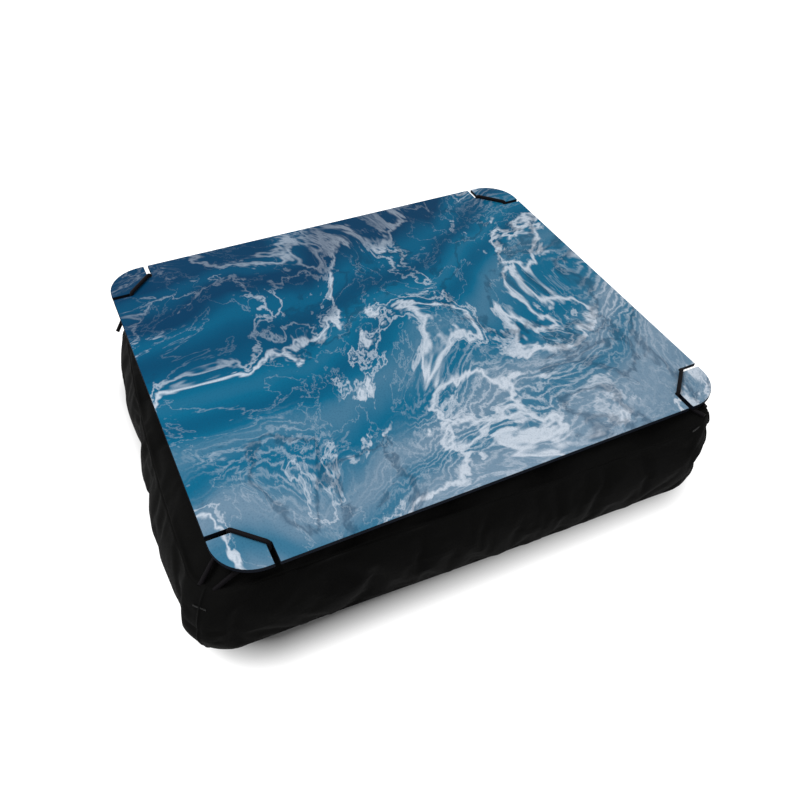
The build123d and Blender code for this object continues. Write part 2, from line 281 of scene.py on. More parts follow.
def make_weave_group():
    tree, given, result = node_group(
        "ShaderNodeTree", "plain_weave",
        [("Flat place", "Vector", None), ("Thread spacing", "Float", 0.0006), ("Slub", "Float", 0.25)],
        [("Height", "Float"), ("Thread shade", "Float")],
    )
    axes = put(tree, "ShaderNodeSeparateXYZ", {"Vector": given["Flat place"]}).outputs
    turn = calc(tree, "DIVIDE", math.pi, given["Thread spacing"])
    waves = [calc(tree, "SINE", calc(tree, "MULTIPLY", axis, turn)) for axis in (axes["X"], axes["Y"])]
    height = calc(tree, "MULTIPLY_ADD", calc(tree, "MULTIPLY", *waves), 0.5, 0.5)
    slub_scale = calc(tree, "DIVIDE", slubs_per_thread, given["Thread spacing"])
    slub = plain_noise(tree, given["Flat place"], slub_scale, slub_detail)
    uneven = calc(tree, "MULTIPLY", slub, given["Slub"])
    plug(tree, result["Height"], calc(tree, "ADD", height, uneven))
    ribs = [calc(tree, "ABSOLUTE", wave) for wave in waves]
    plug(tree, result["Thread shade"], calc(tree, "MULTIPLY", *ribs))
    return tree


def make_mottle_group():
    tree, given, result = node_group(
        "ShaderNodeTree", "uneven_surface",
        [("Place", "Vector", None), ("Patch scale", "Float", 30.0), ("Grain scale", "Float", 900.0)],
        [("Patches", "Float"), ("Grain", "Float")],
    )
    plug(tree, result["Patches"], plain_noise(tree, given["Place"], given["Patch scale"], patch_detail))
    plug(tree, result["Grain"], plain_noise(tree, given["Place"], given["Grain scale"], grain_detail))
    return tree


weave_group = make_weave_group()
mottle_group = make_mottle_group()


def mottled(tree, patch_scale, grain_scale):
    """The patches and the grain of a surface, by the place on the object."""
    scales = {"Patch_scale": patch_scale, "Grain_scale": grain_scale}
    return use_group(tree, mottle_group, Place=object_place(tree), **scales)


print("shared groups:", [group.name for group in bpy.data.node_groups])

# %% [markdown]
# The tray's board is 3 mm fibreboard. A laser cuts its outline and its eight notches and leaves every cut
# edge nearly black. The underside is bare brown board. The material tells edge from face by the
# direction of the surface, so one recipe serves the whole node.

# %% Board
burnt_colours = ((0.002, 0.003, 0.006, 1), (0.006, 0.009, 0.017, 1))
bare_colours = ((0.16, 0.085, 0.045, 1), (0.24, 0.14, 0.08, 1))
board_relief = 0.0001
facing_down = -0.5  # the normal's height below which a surface is the underside


def make_board_material():
    material, tree, shader = new_material("laser_cut_fibreboard", Roughness=0.7, Specular_IOR_Level=0.06)
    mottle = mottled(tree, patch_scale=60.0, grain_scale=1400.0)
    normal = put(tree, "ShaderNodeNewGeometry").outputs["Normal"]
    up = put(tree, "ShaderNodeSeparateXYZ", {"Vector": normal}).outputs["Z"]
    burnt = blend_colours(tree, mottle["Grain"], *burnt_colours)
    bare = blend_colours(tree, mottle["Patches"], *bare_colours)
    colour = blend_colours(tree, calc(tree, "LESS_THAN", up, facing_down), burnt, bare)
    feed(tree, shader, Base_Color=colour, Normal=bump(tree, mottle["Grain"], board_relief))
    return material


def dress(name, material):
    """Gives a CAD node its finish."""
    nodes[name].data.materials.clear()
    nodes[name].data.materials.append(material)


dress("tray_board", make_board_material())
board_low, board_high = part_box("tray_board")
print("board is", round(board_high.z - board_low.z, 4), "m thick")

# %% [markdown]
# The board's face is a printed film with a satin finish. Its picture here is marbled ink, a traditional
# pattern, made of three things that real marbling has: broad currents of colour, from deep navy and teal
# at the back to slate at the front, combed threads that follow the currents, and crisp veins where two
# inks meet. All of them are drawn on one place that noise has pushed about, so they flow together.

# %% Printed face
ink_ramp = (
    # share of the way to the front, colour
    (0.0, (0.0, 0.04, 0.104, 1)),
    (0.2, (0.0003, 0.086, 0.182, 1)),
    (0.38, (0.002, 0.132, 0.25, 1)),
    (0.54, (0.045, 0.175, 0.29, 1)),
    (0.7, (0.155, 0.26, 0.365, 1)),
    (1.0, (0.225, 0.33, 0.44, 1)),
)
pale_ink = (0.64, 0.71, 0.8, 1)
dark_ink = (0.002, 0.035, 0.085, 1)
ink_flow = (0.26, -0.96, 0)  # the way across the board that the colours run
ink_seed = 10.5
ink_swirls = ((1.7, 0.62, 1.0), (4.2, 0.2, 3.0))  # noise scale, how far it pushes, detail
ink_start = 0.4  # what moves the middle of the board to its share of the ramp
ink_bands = 7.0
band_strength = 0.12
ink_threads = 52.0
thread_noise = (7.0, 9.0, 0.62)  # scale, detail, roughness
thread_drift = 0.22
thread_sharpness = 3.0
thread_patches = (2.4, 2.0)  # scale, detail
thread_levels = (0.47, 0.72)  # of the patches, where no threads show and where all do
thread_strength = 0.62
rear_presence = 0.3  # what is left of a vein's strength at the rear
rear_levels = (0.02, 0.3)
ink_veins = (
    # noise scale, its roughness, its level, half width, strength, colour
    (2.3, 0.6, 0.5, 0.017, 0.85, pale_ink),
    (4.6, 0.6, 0.47, 0.014, 0.55, pale_ink),
    (3.1, 0.58, 0.56, 0.02, 0.45, dark_ink),
    (9.5, 0.62, 0.52, 0.012, 0.2, pale_ink),
)
vein_detail = 6.0
speck_noise = (300.0, 4.0)  # scale, detail
speck_levels = (0.45, 0.8)
speck_strength = 0.3
film_roughness = (0.12, 0.42)  # what the grain adds, and the least
film_relief = 0.00002


def ink_noise(tree, place, scale, detail, roughness=0.5):
    """The outputs of a noise that the seed picks."""
    inputs = {"Vector": place, "W": ink_seed, "Scale": scale, "Detail": detail, "Roughness": roughness}
    return put(tree, "ShaderNodeTexNoise", inputs, noise_dimensions="4D").outputs


def vector_sum(tree, operation, first, second):
    """Adds a Vector Math node and returns its output."""
    return put(tree, "ShaderNodeVectorMath", {0: first, 1: second}, operation=operation).outputs[0]


def pushed(tree, place, scale, reach, detail):
    """A place moved about by smooth noise."""
    noise = ink_noise(tree, place, scale, detail)["Color"]
    centred = vector_sum(tree, "SUBTRACT", noise, (0.5, 0.5, 0.5))
    scaled = put(tree, "ShaderNodeVectorMath", {0: centred, "Scale": reach}, operation="SCALE").outputs[0]
    return vector_sum(tree, "ADD", place, scaled)


def eased(tree, value, low, high):
    """0 below low and 1 above high, with a smooth step between. High may be the lower of the two."""
    node = put(tree, "ShaderNodeMapRange", interpolation_type="SMOOTHSTEP")
    for name, number in (("Value", value), ("From Min", low), ("From Max", high)):
        plug(tree, node.inputs[name], number)
    return node.outputs["Result"]


def vein(tree, place, scale, roughness, height, half_width):
    """A thin line along which noise passes one height."""
    noise = ink_noise(tree, place, scale, vein_detail, roughness)["Fac"]
    off = calc(tree, "ABSOLUTE", calc(tree, "SUBTRACT", noise, height))
    return calc(tree, "SUBTRACT", 1.0, eased(tree, off, 0.0, half_width))


def board_place(tree):
    """The place on the board, from its middle, where 1 is the board's width."""
    low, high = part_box("printed_face")
    centre, width = (low + high) / 2, high.x - low.x
    inputs = {"Vector": object_place(tree), "Location": [-part / width for part in centre]}
    return put(tree, "ShaderNodeMapping", {**inputs, "Scale": [1 / width] * 3}).outputs["Vector"]


def ink_currents(tree, run):
    """The broad currents of colour, and how far each point lies along the ramp."""
    waves = calc(tree, "SINE", calc(tree, "MULTIPLY", run, ink_bands * 2 * math.pi))
    shade = calc(tree, "MULTIPLY_ADD", waves, band_strength, calc(tree, "ADD", run, ink_start))
    ramp = put(tree, "ShaderNodeValToRGB", {"Fac": shade})
    stops = ramp.color_ramp.elements
    while len(stops) < len(ink_ramp):
        stops.new(0.5)
    for stop, (place, colour) in zip(stops, ink_ramp):
        stop.position = place
        stop.color = colour
    return ramp.outputs["Color"], shade


def combed_threads(tree, place, run):
    """How much of the pale ink the combed threads leave at each point."""
    fine = ink_noise(tree, place, *thread_noise)["Fac"]
    drift = calc(tree, "MULTIPLY_ADD", fine, thread_drift, run)
    threads = calc(tree, "SINE", calc(tree, "MULTIPLY", drift, ink_threads * 2 * math.pi))
    combed = calc(tree, "POWER", calc(tree, "MULTIPLY_ADD", threads, 0.5, 0.5), thread_sharpness)
    patch = ink_noise(tree, place, *thread_patches)["Fac"]
    streaks = calc(tree, "MULTIPLY", combed, eased(tree, patch, *thread_levels))
    return calc(tree, "MULTIPLY", streaks, thread_strength)


def make_print_material():
    material, tree, shader = new_material("marbled_print", Specular_IOR_Level=0.045)
    board = swirled = board_place(tree)
    for scale, reach, detail in ink_swirls:
        swirled = pushed(tree, swirled, scale, reach, detail)
    along = put(tree, "ShaderNodeVectorMath", {0: swirled, 1: ink_flow}, operation="DOT_PRODUCT")
    run = along.outputs["Value"]
    current, shade = ink_currents(tree, run)
    inked = blend_colours(tree, combed_threads(tree, swirled, run), current, pale_ink)
    front = eased(tree, shade, *rear_levels)
    presence = calc(tree, "MULTIPLY_ADD", front, 1 - rear_presence, rear_presence)
    for scale, roughness, height, half_width, strength, colour in ink_veins:
        line = calc(tree, "MULTIPLY", vein(tree, swirled, scale, roughness, height, half_width), presence)
        inked = blend_colours(tree, calc(tree, "MULTIPLY", line, strength), inked, colour)
    grain = ink_noise(tree, board, *speck_noise)["Fac"]
    specks = calc(tree, "MULTIPLY", eased(tree, grain, *speck_levels), speck_strength)
    feed(
        tree, shader, Base_Color=blend_colours(tree, specks, inked, dark_ink),
        Roughness=calc(tree, "MULTIPLY_ADD", grain, *film_roughness), Normal=bump(tree, grain, film_relief),
    )
    return material


dress("printed_face", make_print_material())
print("print runs through", len(ink_ramp), "colours and has", len(ink_veins), "kinds of vein")

# %% [markdown]
# The cushion is a boxed one: a top and a bottom panel, joined by four side bands. Its plan is a rectangle
# with round corners and slightly bowed sides, and it lies a little askew under the board. The mesh is a
# stack of such rings, from the middle of the underside up to the middle of the top, so every seam is a row
# or a column of points. A voxel remesh would be quicker to set up, but it loses the seams.

# %% Plan and profile of the cushion
cushion_askew = math.radians(-2.7)
seam_width = 0.398
seam_depth = 0.322
corner_radii = (0.028, 0.028, 0.028, 0.045)  # front left, front right, rear right, rear left
corner_columns = (12, 12, 12, 18)  # steps between points round each corner
side_columns = (90, 70, 84, 66)  # steps along the front, right, rear and left sides
side_bows = (0.002, 0.005, 0.0, 0.006)  # how far the middle of each side stands out
rear_left_slack = 0.008  # how far that corner of the plan is drawn in along X
band_bulge = 0.008  # how far the middle of the bands stands out from the seams
foot_inset = 0.012  # how far the flat underside ends inside the bottom seam
crown_reach = 0.052  # how far the flat top begins inside the top seam
bottom_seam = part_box("bottom_panel")[1].z
top_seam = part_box("top_panel")[0].z
cushion_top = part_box("top_panel")[1].z

foot_shares = ((0, 1), (0.4, 0.35), (1, 0))  # height, inset
band_shares = (
    # height, bulge
    (0, 0.25), (0.1, 0.62), (0.25, 0.88), (0.42, 1), (0.58, 1), (0.75, 0.86), (0.9, 0.52), (1, 0),
)
crown_shares = ((0, 0), (0.4, 0.2), (0.68, 0.48), (1, 1))  # height, inset
flat_scales = (0.25, 0.5, 0.75, 0.92)  # rings on the two flats, as shares of the whole flat
band_rows = 17
crown_rows = 13


def unit(vector):
    """A vector's direction, one metre long."""
    return vector / np.linalg.norm(vector)


def plan_ring(stand_out):
    """Points round the cushion at one level, that far outside its seams, from the front left corner."""
    half = np.array((seam_width, seam_depth)) / 2 + stand_out
    corners = half * ((-1, -1), (1, -1), (1, 1), (-1, 1))
    corners[3, 0] += rear_left_slack
    arcs = []
    for index in range(4):
        arriving = unit(corners[index] - corners[index - 1])
        leaving = unit(corners[(index + 1) % 4] - corners[index])
        turn = math.acos(arriving @ leaving)
        radius = corner_radii[index]
        start = corners[index] - arriving * radius * math.tan(turn / 2)
        inward = np.array((-arriving[1], arriving[0]))
        angles = np.linspace(0, turn, corner_columns[index] + 1)[:, None]
        arcs.append(start + inward * radius * (1 - np.cos(angles)) + arriving * radius * np.sin(angles))
    ring = []
    for index in range(4):
        start, end = arcs[index][-1], arcs[(index + 1) % 4][0]
        share = np.linspace(0, 1, side_columns[index], endpoint=False)[:, None]
        along = unit(end - start)
        outward = np.array((along[1], -along[0]))
        side = start + (end - start) * share + outward * side_bows[index] * 4 * share * (1 - share)
        ring += [arcs[index][:-1], side]
    return np.concatenate(ring)


def level(stand_out, height, scale=1.0):
    """One row of the cushion's points."""
    flat = plan_ring(stand_out) * scale
    return np.column_stack((flat, np.full(len(flat), height)))


def cushion_rows():
    """All rows from the underside up, and which of them are the two seams and the two flats."""
    foot_out = band_bulge * band_shares[0][1]
    rows = [level(foot_out - foot_inset, 0, scale) for scale in flat_scales]
    for height, inset in foot_shares[:-1]:
        rows.append(level(foot_out - foot_inset * inset, bottom_seam * height))
    marks = {"lower": len(rows)}
    for share in np.linspace(0, 1, band_rows + 1):
        bulge = np.interp(share, *np.array(band_shares).T) * band_bulge
        rows.append(level(bulge, bottom_seam + (top_seam - bottom_seam) * share))
    marks["upper"] = len(rows) - 1
    crown_heights, crown_insets = np.array(crown_shares).T
    for share in np.linspace(0, 1, crown_rows + 1)[1:]:
        rise = np.interp(share, crown_insets, crown_heights)
        rows.append(level(-crown_reach * share, top_seam + (cushion_top - top_seam) * rise))
    rows += [level(-crown_reach, cushion_top, scale) for scale in flat_scales[::-1]]
    return np.array(rows), marks


start_rows, seam_rows = cushion_rows()
row_count, column_count = start_rows.shape[:2]
corner_starts = np.cumsum((0,) + tuple(np.add(corner_columns, side_columns)))[:4]
seam_columns = corner_starts + np.array(corner_columns) // 2
print("cushion:", row_count, "rows of", column_count, "points, seams at rows", seam_rows)

# %% [markdown]
# No two corners of a used cushion are alike. Here the front left corner is pushed out and its seam has
# slid down, the elastic has pulled the front right corner up level with the board, and the rear left one
# is drawn in and down. The left side has one full and one hollow place. Each is a smooth move of the rows
# before the cloth is simulated, so that the cloth wrinkles round it. Sculpting by hand would do as well,
# but a table of moves can be changed and run again.

# %% Shape of the corners
left_side = corner_starts[3] + corner_columns[3]  # the column where the left side starts, at its rear end
cover_moves = (
    # column, reach along the seam, lift of the seam, push outwards at the foot, the middle and the seam
    (seam_columns[0], 0.065, -0.003, (0.004, 0.008, 0.002)),
    (seam_columns[1], 0.018, 0.0115, (0.0035, -0.005, 0.0025)),
    (seam_columns[2], 0.03, 0.001, (0.0, 0.001, 0.0)),
    (seam_columns[3], 0.03, -0.007, (0.0, -0.001, -0.009)),
    (left_side + round(0.76 * side_columns[3]), 0.03, 0.0, (0.001, 0.0032, 0.0)),
    (left_side + round(0.42 * side_columns[3]), 0.035, 0.0, (-0.001, -0.0022, 0.0)),
)
push_shares = (0.0, 0.45, 1.0)  # of the band's height, for the three pushes
seam_waves = ((3, 0.0006, 0.4), (7, 0.0005, 2.1), (16, 0.0004, 4.0))  # count round, height, phase
band_follow = 2  # the power by which the band follows its lifted seam less and less downwards

seam_ring = start_rows[seam_rows["upper"]]
steps = np.linalg.norm(np.roll(seam_ring, -1, 0) - seam_ring, axis=1)
seam_place = np.concatenate(([0], np.cumsum(steps)))  # metres round the top seam, to each column
seam_length = seam_place[-1]


def distance_round(column):
    """How far each column lies from one column, the short way round the seam."""
    away = np.abs(seam_place[:-1] - seam_place[column])
    return np.minimum(away, seam_length - away)


def shape_corners(rows):
    """The rows with every move of the cover and the seams' slow waves."""
    lower, upper = seam_rows["lower"], seam_rows["upper"]
    heights = rows[:, :, 2]
    band_share = np.clip((heights - bottom_seam) / (top_seam - bottom_seam), 0, 1)
    above = np.clip((cushion_top - heights) / (cushion_top - top_seam), 0, 1)
    numbers = np.arange(row_count)[:, None]
    follow = np.where(numbers > upper, above, band_share ** band_follow)
    fade = np.where(numbers > upper, above, 1) * (numbers >= lower - 1)
    moved = rows.copy()
    for column, reach, lift, pushes in cover_moves:
        near = np.exp(-(distance_round(column) / reach) ** 2)
        moved[:, :, 2] += follow * near * lift
        push = np.interp(band_share, push_shares, pushes) * near * fade
        along = unit(seam_ring[column + 1] - seam_ring[column - 1])
        moved[:, :, :2] += push[:, :, None] * (along[1], -along[0])
    angle = 2 * np.pi * seam_place[:-1] / seam_length
    for count, height, phase in seam_waves:
        moved[:, :, 2] += follow * np.sin(count * angle + phase) * height
    return moved


shaped_rows = shape_corners(start_rows)
print("corners moved up to", round(float(np.abs(shaped_rows - start_rows).max()), 4), "m")

# %% [markdown]
# Cloth that is stuffed wrinkles because there is a little more of it than the seams let lie flat. The
# simulation does the same: the seams, the flat that the board presses on and the strip that the zip
# stiffens stay put, the rest grows by a few percent under pressure from inside, and it buckles into
# puckers along the seams. No point may move further than a cap, so that the cushion keeps its size.

# %% Cloth simulation
zip_middle = (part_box("zip_tape_lower")[0].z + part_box("zip_tape_upper")[1].z) / 2
zip_reach = 0.166  # half the length of the strip that the zip keeps flat
zip_strip = 0.015  # half its height
rear_face = seam_depth / 2 + band_bulge
rear_start = seam_depth / 2 - 0.004  # points behind this lie on the rear band
start_shrink = 0.0016
cloth_growth = 0.035
cloth_frames = 20
swell_cap = 0.0075
dent_cap = 0.0025
tiny = 1e-12  # keeps a division by a length of nothing from failing
cloth_settings = {
    "quality": 6,
    "mass": 0.2,
    "tension_stiffness": 15,
    "compression_stiffness": 15,
    "shear_stiffness": 5,
    "bending_stiffness": 0.35,
    "use_pressure": True,
    "uniform_pressure_force": 4.0,
    "shrink_min": -cloth_growth,
}


def skin_faces(rows, columns):
    """Quads between the rows, and a fan at each pole, all facing outwards."""
    faces = []
    for row in range(rows - 1):
        for column in range(columns):
            after = (column + 1) % columns
            low, high = row * columns, (row + 1) * columns
            faces.append((low + column, low + after, high + after, high + column))
    foot_pole, top_pole = rows * columns, rows * columns + 1
    last = (rows - 1) * columns
    for column in range(columns):
        after = (column + 1) % columns
        faces.append((foot_pole, after, column))
        faces.append((top_pole, last + column, last + after))
    return faces


def skin_mesh(name, rows):
    """A closed mesh over rows of points."""
    poles = rows[[0, -1]].mean(axis=1)
    points = np.concatenate((rows.reshape(-1, 3), poles))
    mesh = bpy.data.meshes.new(name)
    mesh.from_pydata(points.tolist(), [], skin_faces(*rows.shape[:2]))
    return mesh


def add_piece(name, mesh):
    """Puts a mesh in the scene as an object at the origin."""
    piece = bpy.data.objects.new(name, mesh)
    scene.collection.objects.link(piece)
    return piece


def held_share(rows):
    """1 where the cloth is held, down to 0 where it is free to swell."""
    held = np.zeros(rows.shape[:2])
    lower, upper = seam_rows["lower"], seam_rows["upper"]
    held[:lower - 1] = 1
    held[-len(flat_scales) - 1:] = 1
    held[[lower, upper]] = 1
    on_rear = rows[:, :, 1] > rear_start
    in_reach = np.abs(rows[:, :, 0]) < zip_reach
    in_strip = np.abs(rows[:, :, 2] - zip_middle) < zip_strip
    held[on_rear & in_reach & in_strip] = 1
    return held


def outward_of(rows):
    """The way out of the cushion at each point, level in plan."""
    across = np.roll(rows, -1, 1) - np.roll(rows, 1, 1)
    up = np.gradient(rows, axis=0)
    normal = np.cross(across, up)
    length = np.linalg.norm(normal, axis=2, keepdims=True)
    return normal / np.maximum(length, tiny)


def smooth_share(share, turns=3):
    """A share softened along rows and columns."""
    for _ in range(turns):
        along = (np.roll(share, 1, 1) + np.roll(share, -1, 1) + 2 * share) / 4
        padded = np.pad(along, ((1, 1), (0, 0)), mode="edge")
        share = (padded[:-2] + padded[2:] + 2 * along) / 4
    return share


def simulate_cover(rows):
    """Swells the cloth and returns the new rows."""
    held = held_share(rows)
    slack = 1 - np.maximum(smooth_share(held), held)
    start = rows - outward_of(rows) * (slack * start_shrink)[:, :, None]
    piece = add_piece("cover_in_work", skin_mesh("cover_in_work", start))
    pins = piece.vertex_groups.new(name="held")
    flat = held.reshape(-1)
    pins.add([int(index) for index in np.flatnonzero(flat > 0.5)], 1.0, "REPLACE")
    pins.add([len(flat), len(flat) + 1], 1.0, "REPLACE")
    cloth = piece.modifiers.new("cloth", "CLOTH")
    for name, value in cloth_settings.items():
        setattr(cloth.settings, name, value)
    cloth.settings.vertex_group_mass = pins.name
    cloth.settings.effector_weights.gravity = 0
    cloth.collision_settings.use_collision = False
    cloth.collision_settings.use_self_collision = False
    cloth.point_cache.frame_start = 1
    cloth.point_cache.frame_end = cloth_frames
    for frame_number in range(1, cloth_frames + 1):
        scene.frame_set(frame_number)
    swollen = piece.evaluated_get(bpy.context.evaluated_depsgraph_get()).data
    points = np.empty(len(swollen.vertices) * 3)
    swollen.vertices.foreach_get("co", points)
    points = points.reshape(-1, 3)[:-2].reshape(rows.shape)
    bpy.data.objects.remove(piece)
    scene.frame_set(1)
    moved = points - start
    far = np.linalg.norm(moved, axis=2, keepdims=True)
    most, average = round(float(far.max()), 4), round(float(far.mean()), 4)
    print("cloth moved", most, "m at most,", average, "on average")
    moved *= np.minimum(1, swell_cap / np.maximum(far, tiny))
    out = outward_of(start)
    dent = (moved * out).sum(axis=2, keepdims=True)
    return start + moved + out * np.maximum(0, -dent_cap - dent)


cover_rows = simulate_cover(shaped_rows)

# %% [markdown]
# A seam is a fine valley where two pieces of cloth turn inwards and are sewn together. It is narrower
# than the simulated mesh, so it is cut in afterwards: new rows and columns of points close beside each
# seam, and the seam's own points drawn in by a millimetre. The zip's window is cut in the same way.

# %% Seams and zip window
seam_valley = 0.0012  # how deep a seam's line lies
seam_gaps = (0.0009, 0.0024)  # from a seam to the rows cut in beside it
widest_gap = 0.7  # of the way to the next row
closest_row = 0.02  # a cut nearer than this share of a row to another row is left out
window_half_length = 0.1455
window_steps = (
    # height from the zip's middle, depth under the cover
    (0.0062, 0.0), (0.0051, 0.0), (0.0048, 0.0007), (0.0047, 0.0042), (0.0028, 0.0042), (0.0, 0.0042),
)
window_end_gap = 0.0005


def insert_between(rows, index, share):
    """Adds a row at a share of the way from one row to the next."""
    row = rows[index] + (rows[index + 1] - rows[index]) * share
    return np.insert(rows, index + 1, row, axis=0)


def frame_seam(rows, index):
    """Adds rows close beside a seam row, and returns the rows and the seam's new index."""
    for gap in seam_gaps[::-1]:
        for step in (1, -1):
            spacing = np.linalg.norm(rows[index + step] - rows[index], axis=1).mean()
            share = min(gap / spacing, widest_gap)
            if step > 0:
                rows = insert_between(rows, index, share)
            else:
                rows = insert_between(rows, index - 1, 1 - share)
                index += 1
    return rows, index


def draw_in(rows, index, first, last):
    """Pulls part of a seam row into the cushion."""
    out = outward_of(rows)[index, first:last]
    rows[index, first:last] -= out * seam_valley


def insert_at(rows, values, target):
    """Adds a row where values, one for each row, pass the target. Returns rows and values."""
    index = int(np.flatnonzero((values[:-1] - target) * (values[1:] - target) <= 0)[0])
    share = (target - values[index]) / (values[index + 1] - values[index])
    if min(share, 1 - share) > closest_row:
        rows = insert_between(rows, index, share)
        values = np.insert(values, index + 1, target)
    return rows, values


def turned_table(rows):
    """Rows and columns changed over."""
    return rows.transpose(1, 0, 2)


def cut_seams(rows):
    """Cuts in the two long seams, the four corner seams and the zip's window."""
    rows, upper = frame_seam(rows, seam_rows["upper"])
    rows, lower = frame_seam(rows, seam_rows["lower"])
    upper += 2 * len(seam_gaps)
    rear = corner_starts[2] + corner_columns[2] + side_columns[2] // 2
    heights = rows[:, rear, 2].copy()
    band = slice(lower + 1, upper - 1)
    heights[: band.start] = -1
    heights[band.stop:] = 1
    for height, _ in window_steps:
        for side in (1, -1) if height else (1,):
            before = len(rows)
            rows, heights = insert_at(rows, heights, zip_middle + side * height)
            upper += len(rows) - before
    table = turned_table(rows)
    places = table[:, (lower + upper) // 2, 0].copy()
    first_rear, last_rear = corner_starts[2] + corner_columns[2], corner_starts[3]
    places[:first_rear] = 1
    places[last_rear:] = -1
    corners = list(seam_columns)
    for place in (window_half_length, window_half_length + window_end_gap):
        for side in (1, -1):
            before = len(table)
            table, places = insert_at(table, places, side * place)
            corners[3] += len(table) - before
    for index in range(4):
        before = len(table)
        table, corners[index] = frame_seam(table, corners[index])
        grown = len(table) - before
        for later in range(index + 1, 4):
            corners[later] += grown
    for column in corners:
        draw_in(table, column, lower, upper + 1)
    rows = np.ascontiguousarray(turned_table(table))
    for index in (lower, upper):
        draw_in(rows, index, 0, rows.shape[1])
    cut_window(rows)
    return rows, lower, upper


def cut_window(rows):
    """Sinks the points inside the zip's window, with walls at its folded edges."""
    heights, depths = np.array(window_steps[::-1]).T
    off_middle = np.abs(rows[:, :, 2] - zip_middle)
    inside = (np.abs(rows[:, :, 0]) < window_half_length + window_end_gap / 2) & (off_middle < heights[-1])
    inside &= rows[:, :, 1] > rear_start
    depth = np.interp(off_middle, heights, depths)
    rows[:, :, 1] -= np.where(inside, depth, 0)


def lay_askew(mesh):
    """Turns a mesh of the cushion as the cushion lies under the board."""
    turn = np.array(((math.cos(cushion_askew), -math.sin(cushion_askew)),
                     (math.sin(cushion_askew), math.cos(cushion_askew))))
    points = np.empty(len(mesh.vertices) * 3)
    mesh.vertices.foreach_get("co", points)
    points = points.reshape(-1, 3)
    points[:, :2] = points[:, :2] @ turn.T
    mesh.vertices.foreach_set("co", points.reshape(-1))


def lay_out_cloth(mesh, rows, lower, upper):
    """Flat coordinates in metres: round the seam and up on the bands, and straight down on the panels."""
    columns = rows.shape[1]
    round_steps = np.linalg.norm(np.roll(rows[upper], -1, 0) - rows[upper], axis=1)
    across = np.concatenate(([0], np.cumsum(round_steps)))
    up_steps = np.linalg.norm(np.diff(rows, axis=0), axis=2).mean(axis=1)
    along = np.concatenate(([0], np.cumsum(up_steps)))
    layer = mesh.uv_layers.new(name="cloth")
    flat = rows[:, :, :2].reshape(-1, 2)
    for polygon in mesh.polygons:
        corners = [mesh.loops[loop].vertex_index for loop in polygon.loop_indices]
        on_band = len(corners) == 4 and lower <= corners[0] // columns < upper
        wraps = corners[0] % columns == columns - 1
        for loop, corner in zip(polygon.loop_indices, corners):
            if on_band:
                row, column = divmod(corner, columns)
                place = (across[columns if wraps and column == 0 else column], along[row])
            else:
                place = flat[corner] if corner < len(flat) else (0, 0)
            layer.data[loop].uv = place


def between(rows):
    """One subdivision along the columns: a point halfway, and each old point softened by its neighbours."""
    before, after = np.roll(rows, 1, 1), np.roll(rows, -1, 1)
    finer = np.empty((rows.shape[0], 2 * rows.shape[1], rows.shape[2]))
    finer[:, 0::2] = (before + 6 * rows + after) / 8
    finer[:, 1::2] = (rows + after) / 2
    return finer


def subdivided(rows):
    """One subdivision of the whole skin, along the columns and then along the rows."""
    rows = between(rows)
    finer = np.empty((2 * len(rows) - 1, *rows.shape[1:]))
    finer[0::2] = rows
    finer[2:-2:2] = (rows[:-2] + 6 * rows[1:-1] + rows[2:]) / 8
    finer[1::2] = (rows[:-1] + rows[1:]) / 2
    return finer


def finish_skin(name, mesh):
    """Puts a skin in place, smooth."""
    lay_askew(mesh)
    mesh.shade_smooth()
    piece = add_piece(name, mesh)
    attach(piece, "cushion")
    return piece


sewn_rows, sewn_lower, sewn_upper = cut_seams(cover_rows)
smooth_rows = subdivided(sewn_rows)
cover_mesh = skin_mesh("cushion_cover", smooth_rows)
lay_out_cloth(cover_mesh, smooth_rows, 2 * sewn_lower, 2 * sewn_upper)
cover = finish_skin("cushion_cover", cover_mesh)
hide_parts("top_panel", "bottom_panel", "front_band", "left_band", "right_band")
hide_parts("rear_band_upper", "rear_band_lower")
print("cover has", len(cover_mesh.polygons), "faces")

# %% [markdown]
# The cover is plain black polyester. Almost no light comes back from it, so its form shows only by the
# soft sheen of its fibres where the surface turns away, and by a little lint. The base colour is kept
# nearly black and the gloss low, and the weave is a bump in the cloth's flat coordinates.

# %% Black cloth
cloth_relief = 0.00012
cloth_bump = 0.7
cloth_shares = (0.5, 0.6)  # of the weave and of the patches in the colour
cloth_roughness = (0.15, 0.78)  # what the grain adds, and the least


def make_cloth_material(name, dark, light, spacing):
    """Black cloth whose threads stand that far apart."""
    material, tree, shader = new_material(
        name, Sheen_Weight=0.025, Sheen_Roughness=0.35, Specular_IOR_Level=0.035
    )
    flat = put(tree, "ShaderNodeUVMap", uv_map="cloth").outputs["UV"]
    weave = use_group(tree, weave_group, Flat_place=flat, Thread_spacing=spacing)
    mottle = mottled(tree, patch_scale=24.0, grain_scale=700.0)
    patches = calc(tree, "MULTIPLY", mottle["Patches"], cloth_shares[1])
    shade = calc(tree, "MULTIPLY_ADD", weave["Thread shade"], cloth_shares[0], patches)
    feed(
        tree, shader, Base_Color=blend_colours(tree, shade, dark, light),
        Roughness=calc(tree, "MULTIPLY_ADD", mottle["Grain"], *cloth_roughness),
        Normal=bump(tree, weave["Height"], cloth_relief, cloth_bump),
    )
    return material


cover_colours = ((0.0022, 0.0022, 0.0021, 1), (0.0062, 0.0062, 0.006, 1))
cover_mesh.materials.append(make_cloth_material("black_polyester", *cover_colours, spacing=0.0006))
print("cover cloth made")

# %% [markdown]
# Inside the cover lies a loose cushion: a thin white bag full of fibre. Neither shows unless the zip is
# opened, but both are pieces of their own. Each is the cushion's own form, some millimetres smaller, with
# creases or lumps from a few sine waves, which is enough for a form that is hidden.

